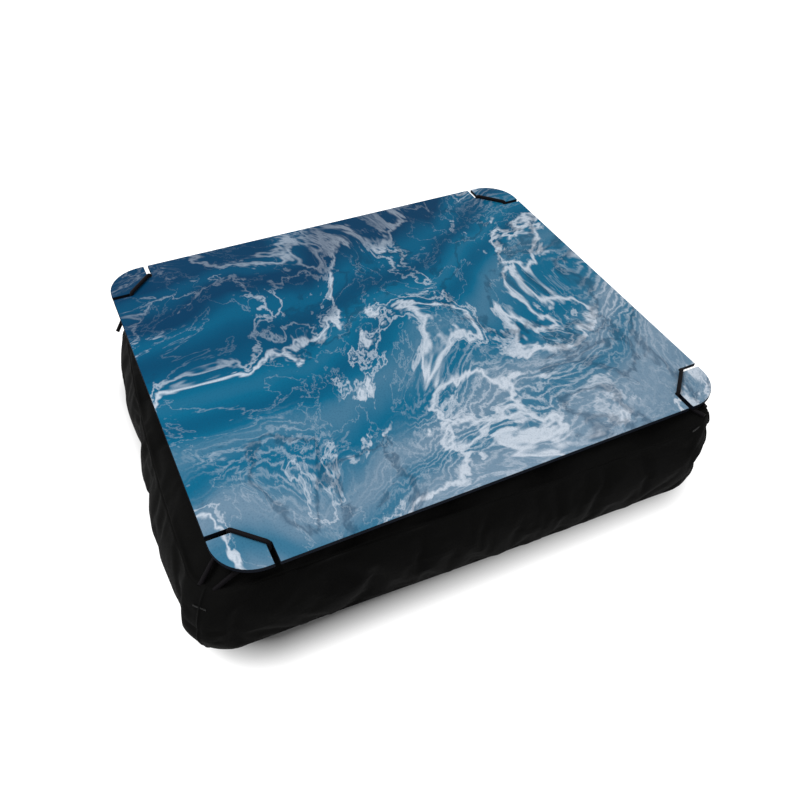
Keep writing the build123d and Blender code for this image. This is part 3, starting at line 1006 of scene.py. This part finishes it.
# %% Inner bag and filling
inner_table = (
    # name, node and slot, depth under the cover, lump height, lumps round, low and high colour
    ("liner_bag", ("inner_bag", "lining"), 0.0056, 0.0005, 46,
     ((0.68, 0.68, 0.66, 1), (0.8, 0.8, 0.79, 1))),
    ("fibre_filling", ("filling", "filling"), 0.0082, 0.0011, 19,
     ((0.72, 0.71, 0.68, 1), (0.86, 0.86, 0.84, 1))),
)
inner_step = 2  # every second row and column of the cover is enough for a hidden form
lump_sway, lump_sway_rate = 3, 90  # radians that the lumps sway aside, and of that sway for each metre up
fleece_relief = 0.0003
lump_rate, lump_lean = 160, 5  # radians of lumps for each metre up, and for each radian round


def lumps(rows, count, height):
    """Small regular dents of a stuffed form."""
    angle = np.arctan2(rows[:, :, 1], rows[:, :, 0])
    sway = lump_sway * np.sin(rows[:, :, 2] * lump_sway_rate)
    wave = np.sin(count * angle + sway) * np.sin(rows[:, :, 2] * lump_rate + lump_lean * angle)
    return wave[:, :, None] * height


def make_fleecy_material(name, colours):
    """White stuff with a grain, for what lies inside the cover."""
    material, tree, shader = new_material(name, Roughness=0.9, Sheen_Weight=0.2)
    mottle = mottled(tree, patch_scale=90.0, grain_scale=2200.0)
    colour = blend_colours(tree, mottle["Patches"], *colours)
    feed(tree, shader, Base_Color=colour, Normal=bump(tree, mottle["Grain"], fleece_relief))
    return material


for name, (node, slot), depth, height, count, colours in inner_table:
    rows = shaped_rows[::inner_step, ::inner_step]
    out = outward_of(rows)
    inner_rows = rows - out * (depth + np.abs(lumps(rows, count, height)))
    inner_mesh = skin_mesh(name, inner_rows)
    inner_mesh.materials.append(make_fleecy_material(name, colours))
    inner = finish_skin(name, inner_mesh)
    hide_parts(node)
    print(name, "has", len(inner_mesh.polygons), "faces")

# %% [markdown]
# The elastics are braided cords of 3 mm. Geometry Nodes sweeps a round section along each route and then
# lifts the surface where the two sets of strands cross, from the length along the cord and the angle
# round it. The same tree serves all cords, with its sizes as named inputs.

# %% Braided cord in Geometry Nodes
def geometry_group(name, inputs):
    """A Geometry Nodes tree with a geometry in and out and the named inputs."""
    geometry = ("Geometry", "Geometry")
    return node_group("GeometryNodeTree", name, [(*geometry, None), *inputs], [geometry])


def even_points(tree, curve, spacing):
    """A curve with its points at even steps."""
    inputs = {"Curve": curve, "Length": spacing}
    return put(tree, "GeometryNodeResampleCurve", inputs, mode="LENGTH").outputs["Curve"]


def end_tree(tree, geometry, material, result):
    """Smooths the shape, makes its instances real, gives it its material and puts it out."""
    smooth = put(tree, "GeometryNodeSetShadeSmooth", {"Geometry": geometry, "Shade Smooth": True})
    real = put(tree, "GeometryNodeRealizeInstances", {"Geometry": smooth.outputs["Geometry"]})
    inputs = {"Geometry": real.outputs["Geometry"], "Material": material}
    plug(tree, result["Geometry"], put(tree, "GeometryNodeSetMaterial", inputs).outputs["Geometry"])


def capture(tree, geometry, value):
    """Keeps a value on the points of a geometry. Returns the geometry and the value."""
    node = tree.nodes.new("GeometryNodeCaptureAttribute")
    node.domain = "POINT"
    node.capture_items.new("FLOAT", "Value")
    feed(tree, node, Geometry=geometry, Value=value)
    return node.outputs["Geometry"], node.outputs["Value"]


def make_cord_tree():
    tree, given, result = geometry_group(
        "braided_cord",
        [("Radius", "Float", 0.0015), ("Ring spacing", "Float", 0.0004), ("Sides", "Int", 20),
         ("Strands", "Float", 4.0), ("Braid length", "Float", 0.004), ("Relief", "Float", 0.00012),
         ("Material", "Material", None)],
    )
    spaced = even_points(tree, given["Geometry"], given["Ring spacing"])
    spaced, along = capture(tree, spaced, put(tree, "GeometryNodeSplineParameter").outputs["Length"])
    sizes = {"Resolution": given["Sides"], "Radius": given["Radius"]}
    section = put(tree, "GeometryNodeCurvePrimitiveCircle", sizes).outputs["Curve"]
    section, around = capture(tree, section, put(tree, "GeometryNodeSplineParameter").outputs["Factor"])
    swept = {"Curve": spaced, "Profile Curve": section, "Fill Caps": True}
    tube = put(tree, "GeometryNodeCurveToMesh", swept).outputs["Mesh"]
    turn = calc(tree, "MULTIPLY", calc(tree, "MULTIPLY", around, given["Strands"]), 2 * math.pi)
    run = calc(tree, "MULTIPLY", calc(tree, "DIVIDE", along, given["Braid length"]), 2 * math.pi)
    strand = calc(tree, "ABSOLUTE", calc(tree, "SINE", calc(tree, "ADD", turn, run)))
    other = calc(tree, "ABSOLUTE", calc(tree, "SINE", calc(tree, "SUBTRACT", turn, run)))
    lift = calc(tree, "MULTIPLY", calc(tree, "MAXIMUM", strand, other), given["Relief"])
    normal = put(tree, "GeometryNodeInputNormal").outputs["Normal"]
    offset = put(tree, "ShaderNodeVectorMath", {0: normal, "Scale": lift}, operation="SCALE").outputs[0]
    raised = put(tree, "GeometryNodeSetPosition", {"Geometry": tube, "Offset": offset}).outputs["Geometry"]
    # Which strand lies on top is kept as an attribute; the elastic's material paints a highlight from it.
    kept = {"Geometry": raised, "Name": "strand", "Value": calc(tree, "SUBTRACT", strand, other)}
    stored = put(tree, "GeometryNodeStoreNamedAttribute", kept, data_type="FLOAT", domain="POINT")
    end_tree(tree, stored.outputs["Geometry"], given["Material"], result)
    return tree


def line_curve(name, points):
    """A curve object of straight runs through points."""
    data = bpy.data.curves.new(name, "CURVE")
    data.dimensions = "3D"
    spline = data.splines.new("POLY")
    spline.points.add(len(points) - 1)
    for target, point in zip(spline.points, points):
        target.co = (*point, 1)
    curve = bpy.data.objects.new(name, data)
    scene.collection.objects.link(curve)
    return curve


def grown(name, curve, tree, **values):
    """Runs a Geometry Nodes tree on a curve and returns the result as a plain mesh piece."""
    modifier = curve.modifiers.new("grow", "NODES")
    modifier.node_group = tree
    for socket in tree.interface.items_tree:
        label = socket.name.replace(" ", "_")
        if socket.in_out == "INPUT" and label in values:
            modifier[socket.identifier] = values[label]
    evaluated = curve.evaluated_get(bpy.context.evaluated_depsgraph_get())
    mesh = bpy.data.meshes.new_from_object(evaluated)
    mesh.name = name
    bpy.data.objects.remove(curve)
    return add_piece(name, mesh)


cord_tree = make_cord_tree()
print("cord tree has", len(cord_tree.nodes), "nodes")

# %% [markdown]
# Each elastic is one loop. It comes out of the cushion's top seam beside a corner, goes up through a notch
# in the board's edge, crosses the board's corner and goes down the other notch. It is pulled tight, so its
# route is straight runs with a small arc round each edge of the board.

# %% Elastic routes
elastic_radius = 0.0015
notch_from_corner = 0.036
notch_seat = 0.0157  # middle of the cord from the board's edge
leg_spread = 0.005  # from the seam's corner to each leg
leg_depth = 0.0015  # how far in from the corner the legs come out
leg_sunk = 0.0015  # how far the cut end lies inside the seam
knee_share = 0.4  # of the way to the notch, where a slanting leg reaches the board
knee_rise = 0.0055
edge_bend = 0.0024
knee_bend = 0.004
bend_points = 6
straightest = 0.45  # the most of a straight run that one bend takes
steep_below = 0.012  # a seam nearer to the notches' line has legs that rise straight up
steep_bend = 0.0022
print_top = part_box("printed_face")[1].z
leg_height = board_low.z - elastic_radius - 0.0003  # where a leg runs, just under the board
over_height = print_top + elastic_radius + 0.0001  # where the cord crosses, just over the film
# The light colour is reached both through the grain and through a painted highlight on the raised strands.
elastic_colours = ((0.0008, 0.0008, 0.001, 1), (0.013, 0.0105, 0.0135, 1))
elastic_grain_and_highlight_shares = (0.5, 0.6)  # of the grain and of the painted highlight on the strands in the colour
elastic_relief = 0.00006
strand_highlight_edge = 1.5  # the power that keeps the painted highlight on a strand narrow
corner_names = ("front_left", "front_right", "rear_right", "rear_left")
corner_signs = ((-1, -1), (1, -1), (1, 1), (-1, 1))


def askew_point(point):
    """A point of the cushion's plan where it lies under the board."""
    x, y = point[:2]
    return np.array((
        x * math.cos(cushion_askew) - y * math.sin(cushion_askew),
        x * math.sin(cushion_askew) + y * math.cos(cushion_askew),
    ))


def rounded(points, radii):
    """A route whose corners are arcs, as points."""
    points = [np.array(point, float) for point in points]
    route = [points[0]]
    for before, corner, after, radius in zip(points, points[1:], points[2:], radii):
        back, on = unit(before - corner), unit(after - corner)
        half = math.acos(np.clip(back @ on, -1, 1)) / 2
        shorter = min(np.linalg.norm(before - corner), np.linalg.norm(after - corner))
        reach = min(radius / math.tan(half), straightest * shorter)
        start, end = corner + back * reach, corner + on * reach
        for share in np.linspace(0, 1, bend_points):
            route.append((1 - share) ** 2 * start + 2 * share * (1 - share) * corner + share ** 2 * end)
    return route + [points[-1]]


def seam_apex(index):
    """Where the top seam turns one corner, as it lies under the board."""
    point = shaped_rows[seam_rows["upper"], seam_columns[index]]
    return np.array((*askew_point(point), point[2]))


def notch_seats(index):
    """Where the cord passes one corner's two notches, in plan."""
    sign = np.array(corner_signs[index])
    corner = np.where(sign > 0, board_high[:2], board_low[:2])
    return corner - sign * (notch_seat, notch_from_corner), corner - sign * (notch_from_corner, notch_seat)


def leg_reach(index):
    """How far one corner's seam lies outside the line between its notches, in plan."""
    outward = unit(np.array(corner_signs[index], float))
    return (seam_apex(index)[:2] - notch_seats(index)[0]) @ outward


def elastic_route(index):
    """The route of one corner's elastic."""
    seats = notch_seats(index)
    *apex, seam_height = seam_apex(index)
    out = unit(askew_point(corner_signs[index]))
    steep = leg_reach(index) < steep_below
    points = []
    for seat, order in ((seats[0], 1), (seats[1], -1)):
        along = unit(seat - (seats[0] + seats[1]) / 2)
        end = apex + along * leg_spread - out * leg_depth
        knee = end + (seat - end) * (0.0 if steep else knee_share)
        knee_height = leg_height if steep else min(seam_height + knee_rise, leg_height)
        foot, bent = (*end, seam_height - leg_sunk), (*knee, knee_height)
        leg = [foot, bent, (*seat, leg_height), (*seat, over_height)]
        points += leg[::order]
    bends = (steep_bend if steep else knee_bend, edge_bend, edge_bend)
    return rounded(points, bends + bends[::-1])


def make_elastic_material():
    material, tree, shader = new_material(
        "braided_elastic", Roughness=0.6, Sheen_Weight=0.012, Specular_IOR_Level=0.05
    )
    strand = put(tree, "ShaderNodeAttribute", attribute_name="strand").outputs["Fac"]
    # Painted highlight: the middle of the strand on top is coloured lighter, as if it caught the light.
    side = calc(tree, "POWER", calc(tree, "ABSOLUTE", strand), strand_highlight_edge)
    mottle = mottled(tree, patch_scale=300.0, grain_scale=4000.0)
    strands = calc(tree, "MULTIPLY", side, elastic_grain_and_highlight_shares[1])
    shade = calc(tree, "MULTIPLY_ADD", mottle["Grain"], elastic_grain_and_highlight_shares[0], strands)
    colour = blend_colours(tree, shade, *elastic_colours)
    feed(tree, shader, Base_Color=colour, Normal=bump(tree, mottle["Grain"], elastic_relief))
    return material


elastic_material = make_elastic_material()
cord_look = {"Radius": elastic_radius, "Material": elastic_material}
for index, corner_name in enumerate(corner_names):
    curve = line_curve("route_" + corner_name, elastic_route(index))
    loop = grown("elastic_loop_" + corner_name, curve, cord_tree, **cord_look)
    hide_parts("elastic_" + corner_name)
    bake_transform(loop)
    print(loop.name, "has", len(loop.data.polygons), "faces")

# %% [markdown]
# One cut end of the rear left elastic was never trimmed. It comes out of the seam, stands out past the
# board's edge and turns down. It is 3 mm cord like the rest, so the same tree makes it. It is sewn in and
# stiff, so it rides on the cushion whole.

# %% Cut end of the rear left elastic
tail_route = ((0.0, 0.0, 0.001), (-0.0186, -0.0004, 0.0), (-0.0282, -0.0078, -0.0095))  # from the seam
tail_bend = 0.0145


def make_tail():
    route = rounded([seam_apex(3) + step for step in tail_route], (tail_bend,))
    tail = grown("elastic_cut_end", line_curve("route_tail", route), cord_tree, **cord_look)
    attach(tail, "cushion")
    return tail


print(make_tail().name, "stands out at the rear left")

# %% [markdown]
# The zip lets the cover come off for washing. Its teeth, stops, slider and pull are CAD nodes that keep
# their shape. The two woven tapes that carry the teeth are made here as thin strips, whose inner edges
# run in between the teeth, so that nothing shows through the closed chain.

# %% Zip tapes
tape_outer = 0.0129  # from the middle of the chain
tape_inner = 0.0011
tape_thickness = 0.0006
tape_low, tape_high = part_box("zip_tape_upper")
tape_half_length = (tape_high.x - tape_low.x) / 2 / math.cos(cushion_askew)
tape_middle = rear_face - 0.0014  # where the middle of the tape's thickness lies along Y
tape_end_sink = 0.0025  # the ends turn in with the corners of the cushion
tape_columns = 60
tape_across = 6


def strip_mesh(name, side):
    """A closed thin strip along the zip, above or below the chain."""
    low, high = sorted((side * tape_inner, side * tape_outer))
    across = np.linspace(low, high, tape_across + 1)
    half = tape_thickness / 2
    section = [(half, z) for z in across] + [(-half, z) for z in across[::-1]]
    lengths = np.linspace(-tape_half_length, tape_half_length, tape_columns + 1)
    sinks = np.interp(np.abs(lengths), (window_half_length, tape_half_length), (0, tape_end_sink))
    points = [
        (x, tape_middle - sink + depth, zip_middle + z)
        for x, sink in zip(lengths, sinks)
        for depth, z in section
    ]
    count = len(section)
    faces = [
        (ring * count + step, ring * count + (step + 1) % count,
         (ring + 1) * count + (step + 1) % count, (ring + 1) * count + step)
        for ring in range(tape_columns)
        for step in range(count)
    ]
    faces.append(tuple(range(count))[::-1])
    faces.append(tuple(tape_columns * count + step for step in range(count)))
    mesh = bpy.data.meshes.new(name)
    mesh.from_pydata(points, [], faces)
    layer = mesh.uv_layers.new(name="cloth")
    for loop in mesh.loops:
        x, _, z = mesh.vertices[loop.vertex_index].co
        layer.data[loop.index].uv = (x, z)
    return mesh


tape_colours = ((0.006, 0.006, 0.006, 1), (0.02, 0.02, 0.021, 1))
tape_cloth = make_cloth_material("zip_tape_weave", *tape_colours, spacing=0.0005)
for name, side in (("upper", 1), ("lower", -1)):
    tape_mesh = strip_mesh("woven_tape_" + name, side)
    tape_mesh.materials.append(tape_cloth)
    lay_askew(tape_mesh)
    tape = add_piece("woven_tape_" + name, tape_mesh)
    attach(tape, "cushion")
    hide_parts("zip_tape_" + name)
    print(tape.name, "is", round(2 * tape_half_length, 3), "m long")

# %% [markdown]
# Moulded teeth are glossy black plastic. The slider and its pull are die cast metal under black enamel,
# which has worn to grey metal in small chips. Both keep their CAD shape and get a finish by nodes.

# %% Teeth, stops, slider and pull
tooth_colours = ((0.01, 0.01, 0.011, 1), (0.022, 0.022, 0.024, 1))
tooth_roughness = (0.2, 0.28)  # what the grain adds, and the least
enamel_colours = ((0.013, 0.013, 0.014, 1), (0.3, 0.29, 0.28, 1))  # sound, and worn to the metal
enamel_roughness = (0.15, 0.24)
enamel_relief = 0.00002
chip_level, chip_edge = 0.66, 14.0  # the patch value where a chip starts, and how sharp its edge is


def make_tooth_material():
    material, tree, shader = new_material("moulded_teeth", Specular_IOR_Level=0.4)
    mottle = mottled(tree, patch_scale=500.0, grain_scale=6000.0)
    colour = blend_colours(tree, mottle["Patches"], *tooth_colours)
    roughness = calc(tree, "MULTIPLY_ADD", mottle["Grain"], *tooth_roughness)
    feed(tree, shader, Base_Color=colour, Roughness=roughness)
    return material


def make_enamel_material():
    material, tree, shader = new_material("black_enamel", Coat_Weight=0.4, Coat_Roughness=0.15)
    mottle = mottled(tree, patch_scale=900.0, grain_scale=3200.0)
    above = calc(tree, "SUBTRACT", mottle["Patches"], chip_level, clamp=True)
    chip = calc(tree, "MULTIPLY", above, chip_edge, clamp=True)
    feed(
        tree, shader, Base_Color=blend_colours(tree, chip, *enamel_colours), Metallic=chip,
        Roughness=calc(tree, "MULTIPLY_ADD", mottle["Grain"], *enamel_roughness),
        Normal=bump(tree, mottle["Grain"], enamel_relief),
    )
    return material


tooth_material = make_tooth_material()
enamel_material = make_enamel_material()
for name in ("zip_teeth_upper", "zip_teeth_lower", "zip_end_stops"):
    dress(name, tooth_material)
for name in ("zip_slider", "zip_pull"):
    dress(name, enamel_material)
print("zip dressed")

# %% [markdown]
# Stitches are what repeats most on a sewn thing. One Geometry Nodes tree lays a short round thread at
# even steps along a line. Two rows of lockstitch hold the tapes under the folded edges of the rear band,
# and a dense bar of cross stitches, a bar tack, holds each corner where the elastics are sewn in. The one
# at the front right was sewn a little to the left of its corner.

# %% Stitches in Geometry Nodes
thread_radius = 0.00022
topstitch_pitch = 0.0034
topstitch_length = 0.0026
topstitch_offset = 0.0078  # from the middle of the zip
topstitch_end = window_half_length + 0.004
tack_width = 0.009
tack_height = 0.0024
tack_drops = (0.009, 0.002, 0.009, 0.009)  # from the top seam down
tack_pitch = 0.0006
tack_thread = 1.4  # thickness of its thread, as a multiple of the topstitching's
thread_out = 0.6  # how far a thread's middle lies outside the cloth, in thread radii
thread_depth = 1.2  # a thread is this much deeper than it is thick
thread_colours = ((0.006, 0.006, 0.006, 1), (0.022, 0.022, 0.022, 1))
thread_relief = 0.00004
tack_steps = (0, -4, 0, 0)  # columns from the corner seam to each tack


def make_stitch_tree():
    tree, given, result = geometry_group(
        "stitch_row",
        [("Pitch", "Float", 0.0034), ("Length", "Float", 0.0026), ("Thickness", "Float", 0.00022),
         ("Turn", "Float", 0.0), ("Outward", "Vector", (0, 1, 0)), ("Material", "Material", None)],
    )
    spaced = even_points(tree, given["Geometry"], given["Pitch"])
    tangent = put(tree, "GeometryNodeInputTangent").outputs["Tangent"]
    facing = put(tree, "FunctionNodeAlignRotationToVector", {"Vector": given["Outward"]}, axis="Z")
    along = {"Rotation": facing.outputs["Rotation"], "Vector": tangent}
    lying = put(tree, "FunctionNodeAlignRotationToVector", along, axis="X", pivot_axis="Z")
    spin = put(tree, "FunctionNodeAxisAngleToRotation", {"Axis": (0, 0, 1), "Angle": given["Turn"]})
    turn = {"Rotation": lying.outputs["Rotation"], "Rotate By": spin.outputs["Rotation"]}
    turned_stitch = put(tree, "FunctionNodeRotateRotation", turn, rotation_space="LOCAL")
    ball = put(tree, "GeometryNodeMeshIcoSphere", {"Radius": 1.0, "Subdivisions": 2}).outputs["Mesh"]
    half_sizes = {
        "X": calc(tree, "MULTIPLY", given["Length"], 0.5),
        "Y": given["Thickness"],
        "Z": calc(tree, "MULTIPLY", given["Thickness"], thread_depth),
    }
    scale = put(tree, "ShaderNodeCombineXYZ", half_sizes).outputs["Vector"]
    thread = put(tree, "GeometryNodeTransform", {"Geometry": ball, "Scale": scale}).outputs["Geometry"]
    laid = {"Points": spaced, "Instance": thread, "Rotation": turned_stitch.outputs["Rotation"]}
    stitches = put(tree, "GeometryNodeInstanceOnPoints", laid).outputs["Instances"]
    end_tree(tree, stitches, given["Material"], result)
    return tree


def make_thread_material():
    material, tree, shader = new_material(
        "sewing_thread", Roughness=0.6, Sheen_Weight=0.03, Specular_IOR_Level=0.2
    )
    mottle = mottled(tree, patch_scale=400.0, grain_scale=5000.0)
    colour = blend_colours(tree, mottle["Grain"], *thread_colours)
    feed(tree, shader, Base_Color=colour, Normal=bump(tree, mottle["Grain"], thread_relief))
    return material


stitch_tree = make_stitch_tree()
thread_material = make_thread_material()


def join_meshes(name, pieces):
    """Joins pieces into the first of them."""
    with bpy.context.temp_override(active_object=pieces[0], selected_editable_objects=pieces):
        bpy.ops.object.join()
    pieces[0].name = name
    return pieces[0]


def stitched(name, ends, out, **sizes):
    """A row of stitches between two places in the cushion's plan that looks that way out."""
    line = line_curve("line", [(*askew_point(end), end[2]) for end in ends])
    outward = (*askew_point(out), 0)
    return grown(name, line, stitch_tree, Outward=outward, Material=thread_material, **sizes)


def make_topstitching():
    """The rows of lockstitch above and below the zip."""
    rows = []
    for side in (1, -1):
        height = zip_middle + side * topstitch_offset
        ends = [(x, rear_face, height) for x in (-topstitch_end, topstitch_end)]
        rows.append(stitched(f"stitches_{side}", ends, (0, 1), Pitch=topstitch_pitch,
                             Length=topstitch_length, Thickness=thread_radius))
    stitching = join_meshes("zip_topstitching", rows)
    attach(stitching, "cushion")
    return stitching


def make_tacks():
    """The bar tack at each corner."""
    tacks = []
    for index in range(4):
        column = seam_columns[index] + tack_steps[index]
        across = unit(seam_ring[column + 1] - seam_ring[column - 1])[:2]
        out = np.array((across[1], -across[0]))
        seam_point = shaped_rows[seam_rows["upper"], column]
        band = cover_rows[seam_rows["lower"]:seam_rows["upper"] + 1, column]
        height = seam_point[2] - tack_drops[index]
        reach = np.interp(height, band[:, 2], band[:, :2] @ out)
        middle = seam_point[:2] + out * (reach - seam_point[:2] @ out + thread_radius * thread_out)
        ends = [(*(middle + across * end), height) for end in (-tack_width / 2, tack_width / 2)]
        tacks.append(stitched(f"tack_{index}", ends, out, Pitch=tack_pitch, Length=tack_height,
                              Thickness=thread_radius * tack_thread, Turn=math.pi / 2))
    bars = join_meshes("bar_tacks", tacks)
    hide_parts("corner_tacks")
    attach(bars, "cushion")
    return bars


for seam in (make_topstitching(), make_tacks()):
    print(seam.name, "has", len(seam.data.polygons), "faces")

# %% End of the scene
print("scene built")
